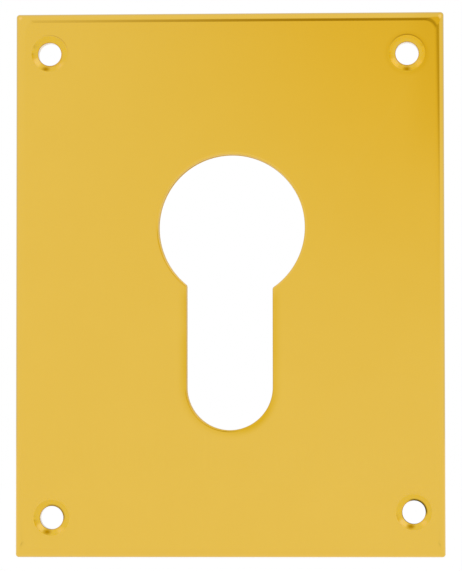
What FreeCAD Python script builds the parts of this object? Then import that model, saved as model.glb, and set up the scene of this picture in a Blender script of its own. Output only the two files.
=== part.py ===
import FreeCAD, Part
import math
import os
import Sketcher

# Rectangular escutcheon plate: one piece of solid brass that covers the cut-out in a door
# round a profile cylinder. Everything about it is worked into the one plate: the outline, the
# polished rounding of its front edges, the cylinder's cut-out and four countersunk screw holes.
# Millimetres. +X is to the right and +Z is up; the polished face looks along -Y and the flat
# back lies in the plane Y = 0, against the door. The origin is on the cylinder's round axis.
# The cut-out was punched in two strokes and the screw holes were drilled one by one, so the
# round lobe stands a little off the centre line and each screw hole has a place of its own.

SIZES = [
    # The blank
    ("plateWidth", 52.0, "overall width"),
    ("plateHeight", 66.0, "overall height"),
    ("plateThickness", 2.0, "thickness of the brass"),
    ("axisToTop", 26.1, "cylinder axis up to the top edge"),
    ("axisOffCentre", 0.26, "cylinder axis to the right of the plate's centre line"),
    ("cornerRadius", 0.4, "corners of the outline"),
    # The polished rounding that runs round the front
    ("roundingWidth", 1.1, "how far the rounding reaches in from the edge"),
    ("roundingDepth", 0.9, "how far it reaches down the side"),
    ("faceCornerRadius", 1.3, "corners of the flat that is left inside the rounding"),
    ("backEdgeBreak", 0.1, "chamfer round the back"),
    # The cut-out for the profile cylinder
    ("lobeDiameter", 17.7, "round part of the cut-out"),
    ("slotWidth", 10.4, "straight part below it"),
    ("cutoutHeight", 33.4, "top of the round part to the foot of the straight part"),
    ("shoulderRadius", 0.4, "where the round part meets the straight part"),
    ("cutoutEdgeRadius", 0.25, "rounding of the cut-out's front edge"),
    # The screw holes
    ("screwHoleDiameter", 2.8, "clearance for the screw's shank"),
    ("countersinkDiameter", 4.3, "countersink at the face"),
    ("countersinkAngle", 118.0, "included angle of the countersink, in degrees"),
    ("upperLeftFromSide", 4.1, "hole centre to the side edge"),
    ("upperLeftFromEnd", 4.9, "hole centre to the top edge"),
    ("upperRightFromSide", 4.45, "hole centre to the side edge"),
    ("upperRightFromEnd", 5.05, "hole centre to the top edge"),
    ("lowerLeftFromSide", 4.4, "hole centre to the side edge"),
    ("lowerLeftFromEnd", 4.8, "hole centre to the bottom edge"),
    ("lowerRightFromSide", 3.8, "hole centre to the side edge"),
    ("lowerRightFromEnd", 5.45, "hole centre to the bottom edge"),
]

# The rounding is lofted through sections at these angles round its quarter ellipse.
ROUNDING_ANGLES = [0.0, 22.5, 45.0, 67.5, 90.0]
NODE = "escutcheon_plate"
NEAR = 1e-4


def makeSheet(doc):
    sheet = doc.addObject("Spreadsheet::Sheet", "Sizes")
    for row, (alias, value, meaning) in enumerate(SIZES, start=1):
        sheet.set(f"A{row}", meaning)
        sheet.set(f"B{row}", str(value))
        sheet.setAlias(f"B{row}", alias)
    doc.recompute()
    return sheet


def faceSketch(body, name, depthBelowFace="0"):
    """A sketch parallel to the face, that deep below it, looking the way the face looks."""
    sketch = body.newObject("Sketcher::SketchObject", name)
    plane = next(f for f in body.Origin.OriginFeatures if f.Role == "XZ_Plane")
    sketch.AttachmentSupport = [(plane, "")]
    sketch.MapMode = "FlatFace"
    sketch.setExpression("AttachmentOffset.Base.z", f"Sizes.plateThickness - ({depthBelowFace})")
    return sketch


def drive(sketch, name, expression, kind, *where):
    """Adds a dimension to the sketch and binds it to the sheet."""
    value = float(sketch.evalExpression(expression))
    index = sketch.addConstraint(Sketcher.Constraint(kind, *where, value))
    sketch.renameConstraint(index, name)
    sketch.setExpression(f"Constraints.{name}", expression)


def roundedOutline(sketch, inset, radius):
    """The plate's outline, drawn in by inset, with corners of that radius."""
    rightSide = f"Sizes.plateWidth / 2 - Sizes.axisOffCentre - ({inset})"
    leftSide = f"Sizes.plateWidth / 2 + Sizes.axisOffCentre - ({inset})"
    top = f"Sizes.axisToTop - ({inset})"
    foot = f"Sizes.plateHeight - Sizes.axisToTop - ({inset})"
    right, left, up, down = (float(sketch.evalExpression(e)) for e in (rightSide, leftSide, top, foot))
    r = float(sketch.evalExpression(radius))

    # Corners anticlockwise from the upper right: each arc, then the line that leads on from it.
    quarter = math.pi / 2
    middles = [(right - r, up - r), (r - left, up - r), (r - left, r - down), (right - r, r - down)]
    arcs = []
    lines = []
    for turn, (x, z) in enumerate(middles):
        circle = Part.Circle(FreeCAD.Vector(x, z, 0), FreeCAD.Vector(0, 0, 1), r)
        arc = Part.ArcOfCircle(circle, turn * quarter, (turn + 1) * quarter)
        arcs.append(sketch.addGeometry(arc))
        onward = middles[(turn + 1) % 4]
        outward = FreeCAD.Vector(-math.sin(turn * quarter), math.cos(turn * quarter), 0) * r
        start = FreeCAD.Vector(x, z, 0) + outward
        end = FreeCAD.Vector(onward[0], onward[1], 0) + outward
        lines.append(sketch.addGeometry(Part.LineSegment(start, end)))

    for turn in range(4):
        following = arcs[(turn + 1) % 4]
        sketch.addConstraint(Sketcher.Constraint("Tangent", arcs[turn], 2, lines[turn], 1))
        sketch.addConstraint(Sketcher.Constraint("Tangent", lines[turn], 2, following, 1))
        level = "Horizontal" if turn % 2 == 0 else "Vertical"
        sketch.addConstraint(Sketcher.Constraint(level, lines[turn]))
    for turn in range(1, 4):
        sketch.addConstraint(Sketcher.Constraint("Equal", arcs[0], arcs[turn]))
    drive(sketch, "corner", radius, "Radius", arcs[0])
    drive(sketch, "top", top, "DistanceY", -1, 1, lines[0], 1)
    drive(sketch, "left", leftSide, "DistanceX", lines[1], 1, -1, 1)
    drive(sketch, "foot", foot, "DistanceY", lines[2], 1, -1, 1)
    drive(sketch, "right", rightSide, "DistanceX", -1, 1, lines[3], 1)


def makeBlank(body):
    """The plate up to where the rounding of its front edge begins."""
    outline = faceSketch(body, "BlankOutline", "Sizes.plateThickness")
    roundedOutline(outline, "0", "Sizes.cornerRadius")
    blank = body.newObject("PartDesign::Pad", "Blank")
    blank.Profile = outline
    blank.setExpression("Length", "Sizes.plateThickness - Sizes.roundingDepth")


def makeRounding(body):
    """The rounded front: a quarter ellipse along the sides, whose corners are polished further."""
    sections = []
    for number, angle in enumerate(ROUNDING_ANGLES):
        rise = f"sin({angle} deg)"
        drawnIn = f"(1 - cos({angle} deg))"
        section = faceSketch(body, f"RoundingSection{number}", f"Sizes.roundingDepth * (1 - {rise})")
        roundedOutline(
            section,
            f"Sizes.roundingWidth * {drawnIn}",
            f"Sizes.cornerRadius + (Sizes.faceCornerRadius - Sizes.cornerRadius) * {drawnIn}",
        )
        sections.append(section)
    rounding = body.newObject("PartDesign::AdditiveLoft", "Rounding")
    rounding.Profile = sections[0]
    rounding.Sections = sections[1:]
    rounding.Ruled = False


def makeCutout(body):
    """The cut-out: a round lobe on the origin, and a slot with a round foot on the centre line."""
    sketch = faceSketch(body, "CutoutOutline")
    lobe = "Sizes.lobeDiameter / 2"
    halfSlot = "Sizes.slotWidth / 2"
    offCentre = "Sizes.axisOffCentre"
    footDrop = "Sizes.cutoutHeight - Sizes.lobeDiameter / 2 - Sizes.slotWidth / 2"
    lobeR, slotR, aside, drop = (
        float(sketch.evalExpression(e)) for e in (lobe, halfSlot, offCentre, footDrop)
    )

    right, left = slotR - aside, -slotR - aside
    toRight, toLeft = math.acos(right / lobeR), math.acos(left / lobeR)
    up = FreeCAD.Vector(0, 0, 1)
    rightShoulder = FreeCAD.Vector(right, -lobeR * math.sin(toRight), 0)
    leftShoulder = FreeCAD.Vector(left, -lobeR * math.sin(toLeft), 0)
    footMiddle = FreeCAD.Vector(-aside, -drop, 0)
    across = FreeCAD.Vector(slotR, 0, 0)
    lobeCircle = Part.Circle(FreeCAD.Vector(0, 0, 0), up, lobeR)
    footCircle = Part.Circle(footMiddle, up, slotR)
    lobeArc = sketch.addGeometry(Part.ArcOfCircle(lobeCircle, -toRight, 2 * math.pi - toLeft))
    leftWall = sketch.addGeometry(Part.LineSegment(leftShoulder, footMiddle - across))
    footArc = sketch.addGeometry(Part.ArcOfCircle(footCircle, math.pi, 2 * math.pi))
    rightWall = sketch.addGeometry(Part.LineSegment(footMiddle + across, rightShoulder))

    sketch.addConstraint(Sketcher.Constraint("Coincident", lobeArc, 3, -1, 1))
    sketch.addConstraint(Sketcher.Constraint("Coincident", lobeArc, 2, leftWall, 1))
    sketch.addConstraint(Sketcher.Constraint("Tangent", leftWall, 2, footArc, 1))
    sketch.addConstraint(Sketcher.Constraint("Tangent", footArc, 2, rightWall, 1))
    sketch.addConstraint(Sketcher.Constraint("Coincident", rightWall, 2, lobeArc, 1))
    sketch.addConstraint(Sketcher.Constraint("Vertical", leftWall))
    sketch.addConstraint(Sketcher.Constraint("Vertical", rightWall))
    drive(sketch, "lobe", lobe, "Radius", lobeArc)
    drive(sketch, "slot", halfSlot, "Radius", footArc)
    drive(sketch, "offCentre", offCentre, "DistanceX", footArc, 3, -1, 1)
    drive(sketch, "drop", footDrop, "DistanceY", footArc, 3, -1, 1)

    cutout = body.newObject("PartDesign::Pocket", "Cutout")
    cutout.Profile = sketch
    cutout.Type = "ThroughAll"


def workEdges(doc, body, kind, name, isWanted, dimension, alias):
    """Adds a fillet or chamfer on the edges of the body's last feature for which isWanted holds."""
    last = body.Tip
    names = [f"Edge{n}" for n, edge in enumerate(last.Shape.Edges, start=1) if isWanted(edge)]
    if not names:
        raise RuntimeError(f"{name} found no edge")
    feature = body.newObject(kind, name)
    feature.Base = (last, names)
    feature.setExpression(dimension, f"Sizes.{alias}")
    doc.recompute()


def finishEdges(doc, body, sheet):
    """Rounds the cut-out's two shoulders and then its whole front edge, and breaks the back edge."""
    lobe = sheet.lobeDiameter / 2

    def isShoulder(edge):
        box = edge.BoundBox
        upright = box.YLength > sheet.plateThickness - NEAR
        atSlot = abs(abs(box.Center.x + sheet.axisOffCentre) - sheet.slotWidth / 2) < NEAR
        onLobe = abs(math.hypot(box.Center.x, box.Center.z) - lobe) < NEAR
        return upright and atSlot and onLobe

    def isFrontOfCutout(edge):
        box = edge.BoundBox
        onFace = abs(box.YMin + sheet.plateThickness) < NEAR and box.YLength < NEAR
        reach = max(abs(box.XMin), abs(box.XMax))
        lowest = lobe - sheet.cutoutHeight
        return onFace and reach < lobe + NEAR and lowest - NEAR < box.ZMin and box.ZMax < lobe + NEAR

    def isBackOutline(edge):
        box = edge.BoundBox
        reach = max(abs(box.XMin + sheet.axisOffCentre), abs(box.XMax + sheet.axisOffCentre))
        height = max(box.ZMax - sheet.axisToTop + sheet.plateHeight, sheet.axisToTop - box.ZMin)
        onSide = abs(reach - sheet.plateWidth / 2) < NEAR
        onEnd = abs(height - sheet.plateHeight) < NEAR
        return abs(box.YMax) < NEAR and box.YLength < NEAR and (onSide or onEnd)

    workEdges(doc, body, "PartDesign::Fillet", "Shoulders", isShoulder, "Radius", "shoulderRadius")
    workEdges(doc, body, "PartDesign::Fillet", "CutoutEdge", isFrontOfCutout, "Radius", "cutoutEdgeRadius")
    workEdges(doc, body, "PartDesign::Chamfer", "BackEdge", isBackOutline, "Size", "backEdgeBreak")


def makeScrewHoles(doc, body):
    """Four countersunk holes, each placed from the two edges nearest to it."""
    sketch = faceSketch(body, "ScrewHolePlaces")
    radius = "Sizes.screwHoleDiameter / 2"
    first = None
    for end in ("upper", "lower"):
        for side in ("Left", "Right"):
            hole = end + side
            toSide = "-" if side == "Right" else "+"
            across = f"Sizes.plateWidth / 2 {toSide} Sizes.axisOffCentre - Sizes.{hole}FromSide"
            if end == "upper":
                along = f"Sizes.axisToTop - Sizes.{hole}FromEnd"
            else:
                along = f"Sizes.plateHeight - Sizes.axisToTop - Sizes.{hole}FromEnd"
            x = float(sketch.evalExpression(across)) * (1 if side == "Right" else -1)
            z = float(sketch.evalExpression(along)) * (1 if end == "upper" else -1)
            r = float(sketch.evalExpression(radius))
            place = FreeCAD.Vector(x, z, 0)
            circle = sketch.addGeometry(Part.Circle(place, FreeCAD.Vector(0, 0, 1), r))
            fromAxis, toHole = ((-1, 1), (circle, 3))
            acrossEnds = fromAxis + toHole if side == "Right" else toHole + fromAxis
            alongEnds = fromAxis + toHole if end == "upper" else toHole + fromAxis
            drive(sketch, f"{hole}Across", across, "DistanceX", *acrossEnds)
            drive(sketch, f"{hole}Along", along, "DistanceY", *alongEnds)
            if first is None:
                first = circle
                drive(sketch, "shank", radius, "Radius", circle)
            else:
                sketch.addConstraint(Sketcher.Constraint("Equal", first, circle))
    doc.recompute()

    holes = body.newObject("PartDesign::Hole", "ScrewHoles")
    holes.Profile = sketch
    doc.recompute()
    holes.ThreadType = "None"
    holes.DepthType = "ThroughAll"
    holes.HoleCutType = "Countersink"
    holes.HoleCutCustomValues = True
    holes.setExpression("Diameter", "Sizes.screwHoleDiameter")
    holes.setExpression("HoleCutDiameter", "Sizes.countersinkDiameter")
    holes.setExpression("HoleCutCountersinkAngle", "Sizes.countersinkAngle")


def checkDocument(doc, node):
    """Stops the build if any object failed, or the plate isn't one sound solid."""
    for thing in doc.Objects:
        if "Invalid" in thing.State or "Error" in thing.State:
            raise RuntimeError(f"{thing.Label} failed: {thing.State}")
    shape = node.Shape
    if shape.isNull() or not shape.isValid() or len(shape.Solids) != 1:
        raise RuntimeError(f"{node.Label} isn't one valid solid")


def main():
    doc = FreeCAD.newDocument("EscutcheonPlate")
    sheet = makeSheet(doc)
    body = doc.addObject("PartDesign::Body", "EscutcheonPlate")
    body.Label = NODE
    makeBlank(body)
    makeRounding(body)
    makeCutout(body)
    doc.recompute()
    finishEdges(doc, body, sheet)
    makeScrewHoles(doc, body)
    doc.recompute()
    checkDocument(doc, body)

    os.makedirs("parts", exist_ok=True)
    body.Shape.exportStep(os.path.join("parts", f"{body.Label}.step"))
    box = body.Shape.BoundBox
    print(f"{body.Label}: {box.XLength:.2f} x {box.YLength:.2f} x {box.ZLength:.2f} mm,", end=" ")
    print(f"{len(body.Shape.Faces)} faces, {body.Shape.Volume:.1f} mm3")
    return doc


main()
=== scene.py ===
import math

import bpy
import numpy as np
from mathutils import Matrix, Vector
from mathutils.geometry import tessellate_polygon


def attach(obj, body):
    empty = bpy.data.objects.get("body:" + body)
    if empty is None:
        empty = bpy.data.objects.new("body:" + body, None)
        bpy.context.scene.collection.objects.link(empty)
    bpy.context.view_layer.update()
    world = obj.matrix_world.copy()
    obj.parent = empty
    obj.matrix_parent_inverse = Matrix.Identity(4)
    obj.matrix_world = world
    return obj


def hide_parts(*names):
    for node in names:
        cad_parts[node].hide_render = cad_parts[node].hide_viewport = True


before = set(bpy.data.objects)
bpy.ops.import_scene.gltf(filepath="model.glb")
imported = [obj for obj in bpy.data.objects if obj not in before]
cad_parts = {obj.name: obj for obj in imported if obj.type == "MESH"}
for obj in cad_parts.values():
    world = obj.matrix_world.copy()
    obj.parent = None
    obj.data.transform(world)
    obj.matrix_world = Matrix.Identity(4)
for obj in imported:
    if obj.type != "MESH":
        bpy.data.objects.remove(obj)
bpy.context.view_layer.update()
print("frame loaded")

mm = 0.001
scene = bpy.context.scene
scene.view_settings.view_transform = "Standard"


# A shader socket that carries a value. Each operator on it adds a Math node to its tree.
class Num:
    def __init__(self, graph, socket):
        self.graph = graph
        self.socket = socket

    def other(self, output):
        return Num(self.graph, self.socket.node.outputs[output])

    def __add__(self, term):
        return self.graph.maths("ADD", self, term)

    def __radd__(self, term):
        return self.graph.maths("ADD", term, self)

    def __sub__(self, term):
        return self.graph.maths("SUBTRACT", self, term)

    def __rsub__(self, term):
        return self.graph.maths("SUBTRACT", term, self)

    def __mul__(self, term):
        return self.graph.maths("MULTIPLY", self, term)

    def __rmul__(self, term):
        return self.graph.maths("MULTIPLY", term, self)

    def __truediv__(self, term):
        return self.graph.maths("DIVIDE", self, term)

    def __pow__(self, term):
        return self.graph.maths("POWER", self, term)


# A node tree, with one way to add a node.
class Graph:
    def __init__(self, tree):
        self.tree = tree

    def node(self, kind, settings=None, inputs=None, output=0):
        made = self.tree.nodes.new(kind)
        for name, value in (settings or {}).items():
            if name == "stops":
                ramp = made.color_ramp.elements
                while len(ramp) < len(value):
                    ramp.new(0.5)
                for element, (place, colour) in zip(ramp, value):
                    element.position = place
                    element.color = (*colour, 1.0)
            else:
                setattr(made, name, value)
        self.fill(made, inputs or {})
        return Num(self, made.outputs[output])

    def fill(self, made, inputs):
        for name, value in inputs.items():
            if isinstance(value, Num):
                self.tree.links.new(value.socket, made.inputs[name])
            else:
                made.inputs[name].default_value = value

    def maths(self, operation, *terms):
        return self.node("ShaderNodeMath", {"operation": operation}, dict(enumerate(terms)))

    # 0 below low, 1 above high, eased between.
    def rise(self, value, low, high):
        return self.node(
            "ShaderNodeMapRange",
            {"interpolation_type": "SMOOTHSTEP"},
            {"Value": value, "From Min": low, "From Max": high},
        )

    # Noise with so many cells to a metre, the same in all directions or one number for each.
    def noise(self, place, scale, detail=2.0, roughness=0.5):
        if isinstance(scale, tuple):
            place = self.node("ShaderNodeMapping", {}, {"Vector": place, "Scale": scale})
            scale = 1.0
        return self.node(
            "ShaderNodeTexNoise",
            {"noise_dimensions": "3D"},
            {"Vector": place, "Scale": scale, "Detail": detail, "Roughness": roughness},
        )

    # The named coordinates of a place or a direction.
    def split(self, place, names):
        made = self.node("ShaderNodeSeparateXYZ", {}, {"Vector": place})
        return [made.other(name) for name in names]

    # How far a place on the plate is from a point or, with a length below it, from a line.
    def away(self, right, up, centre, length=0.0):
        across = right - centre[0] * mm
        along = up - centre[1] * mm
        if length:
            above = self.maths("MAXIMUM", along, 0.0)
            along = above + self.maths("MINIMUM", along + length * mm, 0.0)
        return (across * across + along * along) ** 0.5

    # A normal from a height in metres.
    def bump(self, height):
        return self.node(
            "ShaderNodeBump", {}, {"Strength": 1.0, "Distance": 1.0, "Height": height}
        )

    def mixed(self, share, first, second):
        made = self.node("ShaderNodeMix", {"data_type": "RGBA"}, {"Factor": share}, output=2)
        node = made.socket.node
        for socket, value in ((node.inputs[6], first), (node.inputs[7], second)):
            if isinstance(value, Num):
                self.tree.links.new(value.socket, socket)
            else:
                socket.default_value = (*value, 1.0)
        return made


# A material whose Principled shader takes the given settings.
def finish(name, paint):
    material = bpy.data.materials.new(name)
    material.use_nodes = True
    graph = Graph(material.node_tree)
    shader = material.node_tree.nodes["Principled BSDF"]
    place = graph.node("ShaderNodeTexCoord", output="Object")
    graph.fill(shader, paint(graph, place))
    return material


plate = {
    "width": 52.0,
    "height": 66.0,
    "thickness": 2.0,
    "axisToTop": 26.1,  # lobe axis up to the top edge
    "axisOffCentre": 0.26,  # lobe axis right of the centre line
    "cornerRadius": 0.4,
    "faceCornerRadius": 1.3,  # corners of the flat inside the rounding
    "roundingWidth": 1.1,
    "roundingDepth": 0.9,
    "backBreak": 0.1,
    "flatRing": 0.05,  # a narrow ring of the face beside its edges keeps their shading smooth
}

cutout = {
    "lobeRadius": 8.85,
    "slotHalfWidth": 5.2,
    "height": 33.4,
    "shoulderRadius": 0.4,
    "edgeRadius": 0.25,
    "backBreak": 0.03,
    "flatRing": 0.1,
}

screwHoles = {
    "radius": 1.4,
    "countersinkRadius": 2.15,
    "rimSlope": 26.0,  # the countersink is a little dished: its slope in degrees at the rim
    "footSlope": 38.0,  # and where it meets the hole
    "lipRadius": 0.03,
    "footRadius": 0.12,
    "backBreak": 0.05,
    "flatRing": 0.05,
    "centres": [(-22.16, 21.2), (21.29, 21.05), (-21.86, -35.1), (21.94, -34.45)],
}

# Steps in each curve, and the angle from which an edge is shaded as sharp.
fineness = {
    "rounding": 20,
    "corner": 14,
    "lobe": 150,
    "foot": 72,
    "shoulder": 10,
    "cutoutEdge": 10,
    "hole": 96,
    "lip": 4,
    "dish": 10,
    "sharpAngle": 35.0,
}


# The unit circle at the given angles, one row each: right and up.
def around(angles):
    return np.stack([np.cos(angles), np.sin(angles)], axis=-1)


# A quarter turn as two shares that run from 0 to 1: one minus the cosine, and the sine.
def quarterTurn(steps):
    angle = np.linspace(0.0, np.pi / 2, steps + 1)
    return 1 - np.cos(angle), np.sin(angle)


# Plan points (right, up) and depths to points in space: one ring for each depth.
def rings(plan, depth):
    level = np.broadcast_to(np.asarray(depth)[:, None], plan.shape[:2])
    return np.stack([plan[..., 0], -level, plan[..., 1]], axis=-1) * mm


# The outline with rounded corners, as a function of the ring and the angle. A point is
# middle + corner * (half - inset - radius) + radius * direction, where corner holds the two signs
# of the quarter that the angle is in.
def outlineRings(inset, radius, depth):
    turn = np.linspace(0.0, np.pi / 2, fineness["corner"] + 1)
    angles = (np.arange(4)[:, None] * np.pi / 2 + turn).ravel()
    corner = np.repeat([(1, 1), (-1, 1), (-1, -1), (1, -1)], len(turn), axis=0)
    half = np.array([plate["width"], plate["height"]]) / 2
    middle = np.array([-plate["axisOffCentre"], plate["axisToTop"] - plate["height"] / 2])
    inset, radius = np.asarray(inset)[:, None, None], np.asarray(radius)[:, None, None]
    plan = middle + corner * (half - inset - radius) + radius * around(angles)
    return rings(plan, depth)


# The cut-out's line, anticlockwise: arcs whose ends share a tangent, joined by straight walls.
# Each place has its point and the direction into the metal. A shoulder's centre lies in the
# metal, at the radius past both the lobe's circle and the slot's wall.
def cutoutLine():
    lobe, half = cutout["lobeRadius"], cutout["slotHalfWidth"]
    shoulder, aside = cutout["shoulderRadius"], plate["axisOffCentre"]
    reachRight, reachLeft = half - aside + shoulder, half + aside + shoulder
    right = (reachRight, -math.sqrt((lobe + shoulder) ** 2 - reachRight**2))
    left = (-reachLeft, -math.sqrt((lobe + shoulder) ** 2 - reachLeft**2))
    foot = (-aside, lobe + half - cutout["height"])
    toRight, toLeft = math.atan2(right[1], right[0]), math.atan2(left[1], left[0]) + 2 * math.pi

    def arc(centre, radius, first, last, steps, side):
        direction = around(np.linspace(first, last, steps + 1))
        return np.stack([centre + radius * direction, side * direction])

    # The lobe leaves out its two end points, which the shoulders have too.
    return np.concatenate([
        arc((0.0, 0.0), lobe, toRight, toLeft, fineness["lobe"], 1)[:, 1:-1],
        arc(left, shoulder, toLeft - math.pi, 0.0, fineness["shoulder"], -1),
        arc(foot, half, math.pi, 2 * math.pi, fineness["foot"], 1),
        arc(right, shoulder, math.pi, toRight + math.pi, fineness["shoulder"], -1),
    ], axis=1)


# One ring for each offset into the metal: point + offset * direction.
def offsetRings(points, inward, offset, depth):
    return rings(points + np.asarray(offset)[:, None, None] * inward, depth)


# The profile of the cut-out's edge, as arrays from the front to the back: offset, depth.
def cutoutProfile():
    radius, thick, back = cutout["edgeRadius"], plate["thickness"], cutout["backBreak"]
    across, down = quarterTurn(fineness["cutoutEdge"])
    ring = radius + cutout["flatRing"]
    offset = np.concatenate([[ring], radius * (1 - down), [0.0, 0.0, back]])
    depth = np.concatenate([[thick], thick - radius * across, [thick / 2, back, 0.0]])
    return offset, depth


# An arc down into the metal, from one slope to the next: how far in and how far down it goes.
# In is radius * (sine of the slope - sine at the start), down is the same with the cosines.
def bend(radius, first, last, steps):
    slope = np.linspace(math.radians(first), math.radians(last), steps + 1)
    return radius * (np.sin(slope) - np.sin(slope[0])), radius * (np.cos(slope[0]) - np.cos(slope))


# The countersink's profile: over the lip, down the dished cone and over its foot into the hole.
def screwHoleProfile():
    rim, foot = screwHoles["rimSlope"], screwHoles["footSlope"]
    thick, hole, back = plate["thickness"], screwHoles["radius"], screwHoles["backBreak"]
    lipIn, lipDown = bend(screwHoles["lipRadius"], 0.0, rim, fineness["lip"])
    footIn, footDown = bend(screwHoles["footRadius"], foot, 90.0, fineness["lip"])
    span = screwHoles["countersinkRadius"] - hole - footIn[-1]
    dishRadius = span / (math.sin(math.radians(foot)) - math.sin(math.radians(rim)))
    dishIn, dishDown = bend(dishRadius, rim, foot, fineness["dish"])
    start = screwHoles["countersinkRadius"] + lipIn[-1]
    coneIn = lipIn[-1] + dishIn
    inward = np.concatenate([lipIn, coneIn[1:], coneIn[-1] + footIn[1:]])
    coneDown = lipDown[-1] + dishDown
    down = np.concatenate([lipDown, coneDown[1:], coneDown[-1] + footDown[1:]])
    ring = start + screwHoles["flatRing"]
    offset = np.concatenate([[ring], start - inward, [hole, hole + back]])
    depth = thick - np.concatenate([[0.0], down, [thick - back, thick]])
    return offset, depth


# The outer edge's profile, from the back to the front: inset, corner radius, depth.
def outlineProfile():
    wide, deep, thick = plate["roundingWidth"], plate["roundingDepth"], plate["thickness"]
    corner, back = plate["cornerRadius"], plate["backBreak"]
    across, up = quarterTurn(fineness["rounding"])
    swell = (plate["faceCornerRadius"] - corner) * across
    inset = np.concatenate([[back, 0.0], wide * across, [wide + plate["flatRing"]]])
    radius = np.concatenate([[corner - back, corner], corner + swell, [plate["faceCornerRadius"]]])
    depth = np.concatenate([[0.0, back], thick - deep + deep * up, [thick]])
    return inset, radius, depth


# Gathers rings of points into one closed mesh, with a finish and a profile length for each.
class Skin:
    def __init__(self):
        self.points, self.faces, self.finishes, self.lengths = [], [], [], []
        self.count = 0

    # Adds the quads between neighbouring rings, and returns the first and last ring's numbers.
    def wrap(self, grid, finishes):
        many, size = grid.shape[:2]
        index = self.count + np.arange(many * size).reshape(many, size)
        nextOn = np.roll(index, -1, axis=1)
        quads = np.stack([index[:-1], nextOn[:-1], nextOn[1:], index[1:]], axis=-1)
        self.faces += quads.reshape(-1, 4).tolist()
        self.finishes += np.repeat(finishes, size).tolist()
        steps = np.linalg.norm(np.diff(grid[:, 0], axis=0), axis=1)
        length = np.concatenate([[0.0], np.cumsum(steps)])
        self.lengths.append(np.repeat(length, size))
        self.points.append(grid.reshape(-1, 3))
        self.count += many * size
        return index[0], index[-1]

    # Fills the flat between the first loop and the ones inside it.
    def fill(self, loops, frontward, finishNumber):
        everything = np.concatenate(self.points)
        numbers = np.concatenate(loops)
        triangles = tessellate_polygon([[Vector(p) for p in everything[loop]] for loop in loops])
        corners = numbers[np.array(triangles)]
        a, b, c = (everything[corners[:, i]] for i in range(3))
        towardsFront = np.cross(b - a, c - a)[:, 1] < 0
        turned = towardsFront != frontward
        corners[turned] = corners[turned][:, ::-1]
        self.faces += corners.tolist()
        self.finishes += [finishNumber] * len(corners)


# The finishes' numbers, in the order in which they are added further down.
polished, punched, drilled, milled = range(4)

skin = Skin()
inset, radius, depth = outlineProfile()
backLoop, frontLoop = skin.wrap(
    outlineRings(inset, radius, depth), [polished] * (len(depth) - 1)
)
frontLoops, backLoops = [frontLoop], [backLoop]

offset, depth = cutoutProfile()
bands = [polished] * (fineness["cutoutEdge"] + 1) + [punched] * 3
first, last = skin.wrap(offsetRings(*cutoutLine(), offset, depth), bands)
frontLoops.append(first)
backLoops.append(last)

offset, depth = screwHoleProfile()
bands = [polished] * (fineness["lip"] + 1)
bands += [drilled] * (len(depth) - 1 - len(bands))
angles = np.linspace(0.0, 2 * np.pi, fineness["hole"], endpoint=False)
for centre in screwHoles["centres"]:
    middle = np.broadcast_to(np.array(centre), (len(angles), 2))
    first, last = skin.wrap(offsetRings(middle, around(angles), offset, depth), bands)
    frontLoops.append(first)
    backLoops.append(last)

skin.fill(frontLoops, True, polished)
skin.fill(backLoops, False, milled)

mesh = bpy.data.meshes.new("brassPlate")
mesh.from_pydata(np.concatenate(skin.points), [], skin.faces)
mesh.polygons.foreach_set("material_index", skin.finishes)
mesh.polygons.foreach_set("use_smooth", [True] * len(skin.faces))
mesh.set_sharp_from_angle(angle=math.radians(fineness["sharpAngle"]))
profileLength = mesh.attributes.new("profileLength", "FLOAT", "POINT")
profileLength.data.foreach_set("value", np.concatenate(skin.lengths))
mesh.update()
brassPlate = bpy.data.objects.new("brassPlate", mesh)
scene.collection.objects.link(brassPlate)
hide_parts("escutcheon_plate")
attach(brassPlate, "root")
print("plate made:", len(mesh.polygons), "faces")


polish = {
    "colour": (0.790, 0.502, 0.043),  # brass as it is under the lacquer
    "deepColour": (0.774, 0.488, 0.037),
    "blushScale": 190.0,  # the noise scales are cells to a metre
    "roughness": 0.075,
    "roughnessSwing": 0.03,
    "lacquerRoughness": 0.03,
    "waveSize": 14 * mm,  # how far apart the slow waves of the polished sheet are
    "waveHeight": 0.0012 * mm,
    "hairlineScale": (2600.0, 2600.0, 160.0),
    "hairlineHeight": 0.0001 * mm,
    "darkenedColour": (0.71, 0.425, 0.0),  # the face is darker along the slot; the painted shade below takes this colour too
    "darkenedWidth": 1.2 * mm,
    "darkenedLeast": 0.1,  # how strong it is there at the least
    "darkenedShine": 0.5,  # how much of its shine the lacquer keeps where the face is darker
    "lobeGap": 1.5 * mm,  # the darkening fades out over this stretch up to the lobe
    "footDarkPlace": (3.2, -23.8),  # it is darker still round here, on the cut-out's foot
    "footDarkReach": 6.5 * mm,
    "footDarkStrength": 0.6,
    "edgeShadeAcross": (20.4 * mm, 24.0 * mm),  # and painted shade along the upper right edge
    "edgeShadeUp": (4 * mm, 16 * mm),
    "edgeShadeStrength": 0.3,
    "holeShadeReach": (2.1 * mm, 2.95 * mm),  # and painted shade in a ring round the upper right hole
    "holeShadeStrength": 0.5,
    "rimHeight": 0.004 * mm,  # countersinking raised the metal a little round each hole
    "rimWidth": 0.22 * mm,
}


# How far a place on the face or the back is from the slot, the lobe and the nearest hole's centre.
def distances(graph, right, up):
    footCentre = (-plate["axisOffCentre"], 0.0)
    slotLength = cutout["height"] - cutout["lobeRadius"] - cutout["slotHalfWidth"]
    toSlot = graph.away(right, up, footCentre, slotLength) - cutout["slotHalfWidth"] * mm
    toLobe = graph.away(right, up, (0.0, 0.0)) - cutout["lobeRadius"] * mm
    toHole = graph.away(right, up, screwHoles["centres"][0])
    for centre in screwHoles["centres"][1:]:
        toHole = graph.maths("MINIMUM", toHole, graph.away(right, up, centre))
    return toSlot, toLobe, toHole


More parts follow.
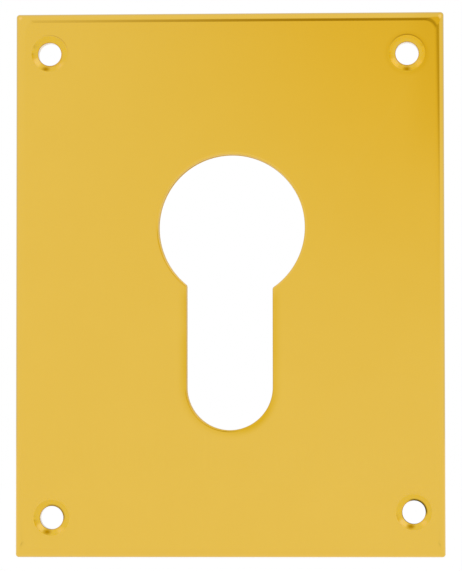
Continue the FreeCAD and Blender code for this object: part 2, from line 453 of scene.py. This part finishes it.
def polishedPaint(graph, place):
    right, up = graph.split(place, "XZ")
    toSlot, toLobe, toHole = distances(graph, right, up)
    toRim = toHole - screwHoles["countersinkRadius"] * mm
    toFootDark = graph.away(right, up, polish["footDarkPlace"])
    toUpperRight = graph.away(right, up, screwHoles["centres"][1])

    waves = graph.noise(place, 1 / polish["waveSize"], detail=1.0)
    blush = graph.noise(place, polish["blushScale"], detail=3.0)
    hairlines = graph.noise(place, polish["hairlineScale"])
    # The face is darker along the slot, most round its foot, and takes the painted shade below.
    footDark = 1 - graph.rise(toFootDark, 0.0, polish["footDarkReach"])
    darkened = 1 - graph.rise(toSlot, 0.0, polish["darkenedWidth"])
    darkened = darkened * graph.rise(toLobe, 0.0, polish["lobeGap"])
    darkened = darkened * (polish["darkenedLeast"] + blush + footDark * polish["footDarkStrength"])
    # Painted shade along the upper right edge of the face.
    edgeShade = graph.rise(right, *polish["edgeShadeAcross"]) * graph.rise(up, *polish["edgeShadeUp"])
    # Painted shade in a ring round the upper right hole.
    holeShade = 1 - graph.rise(toUpperRight, *polish["holeShadeReach"])
    darkened = darkened + edgeShade * polish["edgeShadeStrength"] + holeShade * polish["holeShadeStrength"]
    rim = 1 - graph.rise(toRim, 0.0, polish["rimWidth"])
    height = waves * polish["waveHeight"] + hairlines * polish["hairlineHeight"]
    brass = graph.mixed(blush, polish["colour"], polish["deepColour"])
    return {
        "Base Color": graph.mixed(darkened, brass, polish["darkenedColour"]),
        "Metallic": 1.0,
        "Roughness": polish["roughness"] + (hairlines - 0.5) * polish["roughnessSwing"],
        "Coat Weight": 1 - graph.maths("MINIMUM", darkened, 1.0) * (1 - polish["darkenedShine"]),
        "Coat Roughness": polish["lacquerRoughness"],
        "Normal": graph.bump(height + rim * polish["rimHeight"]),
    }


punch = {
    "colour": (0.84, 0.58, 0.14),
    "grazingColour": (0.88, 0.66, 0.25),
    "scoreScale": (5200.0, 300.0, 5200.0),  # the punch scored the walls from front to back
    "scoreHeight": 0.004 * mm,
    "roughness": 0.42,
    "tornColour": (0.66, 0.42, 0.09),  # where the metal broke off, towards the back
    "tornDepth": 0.75 * mm,  # how far that reaches from the back
    "tornSwing": 0.5 * mm,  # how far its limit wanders in all
    "tornBlur": 0.1 * mm,
    "tornScale": 900.0,
    "tornRoughness": 0.6,
    "grainScale": 9000.0,
}


def punchedPaint(graph, place):
    (depth,) = graph.split(place, "Y")
    scores = graph.noise(place, punch["scoreScale"], detail=3.0)
    grain = graph.noise(place, punch["grainScale"], detail=3.0)
    wander = (graph.noise(place, punch["tornScale"]) - 0.5) * punch["tornSwing"]
    blur = punch["tornBlur"]
    torn = graph.rise(depth + wander + punch["tornDepth"], -blur, blur)
    rougher = punch["tornRoughness"] - punch["roughness"]
    return {
        "Base Color": graph.mixed(torn, punch["colour"], punch["tornColour"]),
        "Specular Tint": (*punch["grazingColour"], 1.0),
        "Metallic": 1.0,
        "Roughness": punch["roughness"] + torn * rougher,
        "Normal": graph.bump((scores + grain * torn) * punch["scoreHeight"]),
    }


drill = {
    "colour": (0.772, 0.485, 0.014),
    "dullColour": (0.745, 0.46, 0.01),
    "stainScale": 1500.0,
    "roughness": 0.11,
    "roughnessSwing": 0.05,
    "lacquer": 0.9,
    "lacquerRoughness": 0.1,
    "ringPitch": 0.09 * mm,
    "ringHeight": 0.0012 * mm,
    "ringWander": 0.08 * mm,
    "wanderScale": 700.0,
    # Painted shade: the upper right countersink is darker and more orange towards its rim, with
    # less lacquer shine.
    "upperShadeColour": (0.785, 0.455, 0.003),
    "upperShadeFrom": 1.6 * mm,
    "upperShadeTo": 2.0 * mm,
    "upperShadeDulling": 0.3,
    # A painted dark reflection low in each countersink, near its foot, with no lacquer shine
    # there.
    "darkReflectionColour": (0.47, 0.235, 0.0),
    "darkReflectionPlaces": [(-0.46, -1.85), (-0.04, -1.93), (-0.5, -1.73), (-0.38, -1.72)],
    "darkReflectionCore": 0.05 * mm,
    "darkReflectionReach": 0.72 * mm,
    "darkReflectionFlatness": 1.5,
    # The lower two holes have a painted shadow along the upper right of their inner rim.
    "rimShadowColour": (0.10, 0.06, 0.003),
    "rimShadowShares": (0.0, 0.0, 0.55, 1.0),
    "rimShadowTowards": (0.64, 0.77),
    "rimShadowSpread": (0.3, 0.75),  # cosines of the angle from that direction: none, full
    "rimShadowFrom": 1.46 * mm,
    "rimShadowTo": 1.72 * mm,
}


def drilledPaint(graph, place):
    run = graph.node("ShaderNodeAttribute", {"attribute_name": "profileLength"}, output="Fac")
    wander = graph.noise(place, drill["wanderScale"]) * drill["ringWander"]
    tooling = graph.maths("SINE", (run + wander) * (2 * math.pi / drill["ringPitch"]))
    stain = graph.noise(place, drill["stainScale"], detail=3.0)

    right, up = graph.split(place, "XZ")
    # Painted dark reflections low in each countersink, and a painted shadow on the lower holes'
    # inner rim.
    flatness = drill["darkReflectionFlatness"]
    toDarkReflection, rimShadow = 1.0, 0.0
    for (x, z), (aside, below), share in zip(
        screwHoles["centres"], drill["darkReflectionPlaces"], drill["rimShadowShares"]
    ):
        toThisDarkReflection = graph.away(right, up * flatness, (x + aside, (z + below) * flatness))
        toDarkReflection = graph.maths("MINIMUM", toDarkReflection, toThisDarkReflection)
        # Painted shadow on the upper right of the lower holes' inner rim.
        if share:
            toHole = graph.away(right, up, (x, z))
            towards = (right - x * mm) * drill["rimShadowTowards"][0]
            towards = (towards + (up - z * mm) * drill["rimShadowTowards"][1]) / toHole
            near = 1 - graph.rise(toHole, drill["rimShadowFrom"], drill["rimShadowTo"])
            rimShadow = rimShadow + near * graph.rise(towards, *drill["rimShadowSpread"]) * share
    darkened = 1 - graph.rise(toDarkReflection, drill["darkReflectionCore"], drill["darkReflectionReach"])
    shaded = graph.maths("MAXIMUM", darkened, rimShadow)

    # Painted shade: thick marks the outer part of the upper right countersink, drawn darker and
    # more orange.
    toUpperRight = graph.away(right, up, screwHoles["centres"][1])
    thick = graph.rise(toUpperRight, drill["upperShadeFrom"], drill["upperShadeTo"])
    thick = thick * graph.maths("LESS_THAN", toUpperRight, 2 * drill["upperShadeTo"])
    brass = graph.mixed(stain, drill["colour"], drill["dullColour"])
    brass = graph.mixed(thick, brass, drill["upperShadeColour"])
    brass = graph.mixed(darkened, brass, drill["darkReflectionColour"])
    return {
        "Base Color": graph.mixed(rimShadow, brass, drill["rimShadowColour"]),
        "Metallic": 1.0,
        "Roughness": drill["roughness"] + (stain - 0.5) * drill["roughnessSwing"],
        "Coat Weight": (1 - shaded) * (drill["lacquer"] - thick * drill["upperShadeDulling"]),
        "Coat Roughness": drill["lacquerRoughness"],
        "Normal": graph.bump(tooling * drill["ringHeight"]),
    }


mill = {
    "colour": (0.76, 0.495, 0.125),
    "dullColour": (0.60, 0.385, 0.12),
    "roughness": 0.27,
    "roughnessSwing": 0.1,
    "dullRoughness": 0.16,  # added where the metal is dull
    "pressedColour": (0.84, 0.57, 0.15),  # where the punch and the drill pressed the metal smooth
    "pressedWidth": 0.4 * mm,
    "pressedPolish": 0.08,  # taken off the roughness there
    "burrHeight": 0.012 * mm,
    # Fine lines and wider streaks run up the plate, the way the sheet was rolled.
    "lineScale": (7000.0, 7000.0, 130.0),
    "lineHeight": 0.0012 * mm,
    "streakScale": (1500.0, 1500.0, 12.0),
    "streakHeight": 0.0025 * mm,
    "streakRange": (0.3, 0.7),  # each range is from no dulling to all of it
    "streakDulling": 0.4,
    "bloomScale": (150.0, 150.0, 70.0),
    "bloomRange": (0.42, 0.78),
    "bloomDulling": 0.35,
    "speckScale": 1400.0,
    "speckRange": (0.62, 0.72),
    "speckDulling": 0.25,
}


def milledPaint(graph, place):
    right, up = graph.split(place, "XZ")
    toSlot, toLobe, toHole = distances(graph, right, up)
    toHole = toHole - (screwHoles["radius"] + screwHoles["backBreak"]) * mm
    toEdge = graph.maths("MINIMUM", toHole, graph.maths("MINIMUM", toSlot, toLobe))
    pressed = 1 - graph.rise(toEdge, 0.0, mill["pressedWidth"])

    lines = graph.noise(place, mill["lineScale"], detail=4.0)
    streaks = graph.noise(place, mill["streakScale"], detail=4.0)
    bloom = graph.noise(place, mill["bloomScale"], detail=4.0, roughness=0.6)
    specks = graph.noise(place, mill["speckScale"])
    dull = graph.rise(bloom, *mill["bloomRange"]) * mill["bloomDulling"]
    dull = dull + graph.rise(streaks, *mill["streakRange"]) * mill["streakDulling"]
    dull = dull + graph.rise(specks, *mill["speckRange"]) * mill["speckDulling"]
    height = lines * mill["lineHeight"] + streaks * mill["streakHeight"]
    rough = mill["roughness"] + dull * mill["dullRoughness"] - pressed * mill["pressedPolish"]
    brass = graph.mixed(dull, mill["colour"], mill["dullColour"])
    return {
        "Base Color": graph.mixed(pressed, brass, mill["pressedColour"]),
        "Metallic": 1.0,
        "Roughness": rough + (lines - 0.5) * mill["roughnessSwing"],
        "Normal": graph.bump(height + pressed * mill["burrHeight"]),
    }


mesh.materials.append(finish("polishedLacqueredBrass", polishedPaint))
mesh.materials.append(finish("punchedBrass", punchedPaint))
mesh.materials.append(finish("drilledBrass", drilledPaint))
mesh.materials.append(finish("millFinishBrass", milledPaint))
print("finishes made")


ground = {
    "drop": 25.0,  # how far the floor is below the plate
    "size": 4000.0,
    "colour": (0.82, 0.82, 0.82),
    "glow": 0.325,
    # In the brass, the floor is darker a little way off to both sides and behind. In metres:
    "darkFromSide": (0.06, 0.26),
    "darkFromBehind": (0.06, 0.24),
    "darkBehind": 0.7,  # how dark it is there, where 1 is as dark as at the sides
    "darkUpTo": (0.38, 0.58),
    "darkBreadth": 0.9,  # to the side, for each metre to the front or back
    "darkBlur": (-0.01, 0.03),
}


def floorPaint(graph, place):
    across, depth = graph.split(place, "XY")
    reach = graph.away(across, depth, (0.0, 0.0))
    across = graph.maths("ABSOLUTE", across)
    side = graph.rise(across, *ground["darkFromSide"])
    behind = graph.rise(depth, *ground["darkFromBehind"]) * ground["darkBehind"]
    beyond = across - graph.maths("ABSOLUTE", depth) * ground["darkBreadth"]
    dark = graph.maths("MAXIMUM", side, behind) * (1 - graph.rise(reach, *ground["darkUpTo"]))
    dark = dark * (1 - graph.rise(beyond, *ground["darkBlur"]))
    path = graph.node("ShaderNodeLightPath", output="Is Camera Ray")
    direct = graph.maths("MAXIMUM", path, path.other("Is Transmission Ray"))
    glow = (direct + path.other("Is Glossy Ray") * (1 - dark)) * ground["glow"]
    return {
        "Base Color": (*ground["colour"], 1.0),
        "Roughness": 1.0,
        "Specular IOR Level": 0.0,
        "Emission Color": graph.mixed(glow, (0.0, 0.0, 0.0), (1.0, 1.0, 1.0)),
        "Emission Strength": 1.0,
    }


# A square below the plate, which lies flat and faces up.
def makeFloor():
    level = plate["axisToTop"] - plate["height"] - ground["drop"]
    half = ground["size"] / 2
    signs = [(-1, -1), (1, -1), (1, 1), (-1, 1)]
    corners = np.array([(x * half, y * half, level) for x, y in signs])
    floorMesh = bpy.data.meshes.new("floor")
    floorMesh.from_pydata(corners * mm, [], [(0, 1, 2, 3)])
    floorMesh.materials.append(finish("paleFloor", floorPaint))
    floor = bpy.data.objects.new("floor", floorMesh)
    scene.collection.objects.link(floor)


# A warm dark card stands up and to the right, in front of the plate. Round it lies a wide yellow
# glow, which reaches down over the face's reflection. Each pair is where a soft edge starts and
# ends, in the right, away or up part of a unit direction.
card = {
    "colour": (0.44, 0.34, 0.02),
    "left": (-0.15, 0.0),
    "right": (0.65, 0.85),
    "bottom": (0.125, 0.19),
    "bottomFall": 0.1,  # how much lower the bottom edge is, for each part to the right
    "top": (0.48, 0.64),
    "back": (-0.4, -0.2),
    "paler": (-0.02, 0.06),  # from here to the right the card is paler by this share
    "palerShare": 0.3,
    "cornerLevel": 0.1,  # its upper right corner is cut off along a curve above this level
    "corner": (0.015, 0.045),
    "glowLeft": (-0.14, 0.05),
    "glowBottom": (-0.02, 0.17),
    "glow": [
        (0.0, (1.0, 1.0, 1.0)),
        (0.2, (0.98, 0.965, 0.81)),
        (0.5, (0.962, 0.897, 0.506)),
        (0.65, (0.952, 0.864, 0.35)),
        (0.85, (0.914, 0.802, 0.195)),
    ],
}

studio = {
    "worldLight": 0.55,
    "behind": (0.84, 0.86, 0.92),  # less light comes from behind
    "behindFrom": (-0.3, 0.7),
    # Small lamps up to the right and the left: the direction, the angles in degrees where the lamp
    # is full and where it ends, and its colour.
    "lamps": [
        ((0.64, -0.47, 0.60), 9.0, 20.0, (1.17, 1.2, 2.5)),
        ((-0.60, -0.47, 0.65), 6.0, 16.0, (1.12, 1.1, 1.9)),
    ],
    "keyStrength": 1.5,
    "keyAngle": 50.0,  # how wide the key lamp looks, in degrees
    "keyFrom": (0.60, -0.55, 0.58),
}


# The white world with the card and its glow, as the brass sees it.
def cardTint(graph, right, away, up):
    ends = (1 - graph.rise(right, *card["right"])) * (1 - graph.rise(up, *card["top"]))
    ends = ends * (1 - graph.rise(away, *card["back"]))
    warm = graph.rise(right, *card["glowLeft"]) * graph.rise(up, *card["glowBottom"]) * ends
    level = up + graph.maths("MAXIMUM", right, 0.0) * card["bottomFall"]
    dark = graph.rise(right, *card["left"]) * graph.rise(level, *card["bottom"]) * ends
    dark = dark * (1 - graph.rise(right, *card["paler"]) * card["palerShare"])
    dark = dark * (1 - graph.rise(right * (up - card["cornerLevel"]), *card["corner"]))
    glow = graph.node("ShaderNodeValToRGB", {"stops": card["glow"]}, {"Fac": warm})
    return graph.mixed(dark, glow, card["colour"])


# 1 inside the inner angle from a direction, 0 outside the outer one.
def spot(graph, direction, towards, inner, outer):
    near = graph.node(
        "ShaderNodeVectorMath",
        {"operation": "DOT_PRODUCT"},
        {0: direction, 1: Vector(towards).normalized()},
        output="Value",
    )
    return graph.rise(near, math.cos(math.radians(outer)), math.cos(math.radians(inner)))


# The camera and transmitted rays see white, glossy rays the studio, the rest an even light.
def makeWorld():
    world = bpy.data.worlds.new("studio")
    scene.world = world
    world.use_nodes = True
    graph = Graph(world.node_tree)
    direction = graph.node("ShaderNodeTexCoord", output="Generated")
    right, away, up = graph.split(direction, "XYZ")
    tint = cardTint(graph, right, away, up)
    for towards, inner, outer, colour in studio["lamps"]:
        tint = graph.mixed(spot(graph, direction, towards, inner, outer), tint, colour)
    tint = graph.mixed(graph.rise(away, *studio["behindFrom"]), tint, studio["behind"])
    path = graph.node("ShaderNodeLightPath", output="Is Camera Ray")
    shown = graph.mixed(path.other("Is Glossy Ray"), (studio["worldLight"],) * 3, tint)
    shown = graph.mixed(path.other("Is Transmission Ray"), shown, (1.0, 1.0, 1.0))
    shown = graph.mixed(path, shown, (1.0, 1.0, 1.0))
    graph.fill(world.node_tree.nodes["Background"], {"Color": shown, "Strength": 1.0})


def makeLamp():
    lamp = bpy.data.lights.new("key", "SUN")
    lamp.energy = studio["keyStrength"]
    lamp.angle = math.radians(studio["keyAngle"])
    key = bpy.data.objects.new("key", lamp)
    key.rotation_mode = "QUATERNION"
    key.rotation_quaternion = Vector(studio["keyFrom"]).to_track_quat("Z", "Y")
    key.visible_glossy = False
    scene.collection.objects.link(key)


camera = {
    "place": (18.12, -402.0, -24.71),  # mm
    "target": (-0.167, 0.0, -6.983),
    "roll": -0.065,  # degrees
    "lens": 208.88,
    "sensorWidth": 36.0,
    "clip": (0.01, 20.0),  # metres
}


def makeCamera():
    data = bpy.data.cameras.new("camera")
    data.lens = camera["lens"]
    data.sensor_width = camera["sensorWidth"]
    data.clip_start, data.clip_end = camera["clip"]
    eye = bpy.data.objects.new("camera", data)
    place, target = (Vector(camera[name]) * mm for name in ("place", "target"))
    eye.location = place
    eye.rotation_euler = (target - place).to_track_quat("-Z", "Y").to_euler()
    eye.rotation_euler.rotate_axis("Z", math.radians(camera["roll"]))
    scene.collection.objects.link(eye)
    scene.camera = eye


makeFloor()
makeWorld()
makeLamp()
makeCamera()
print("studio made")
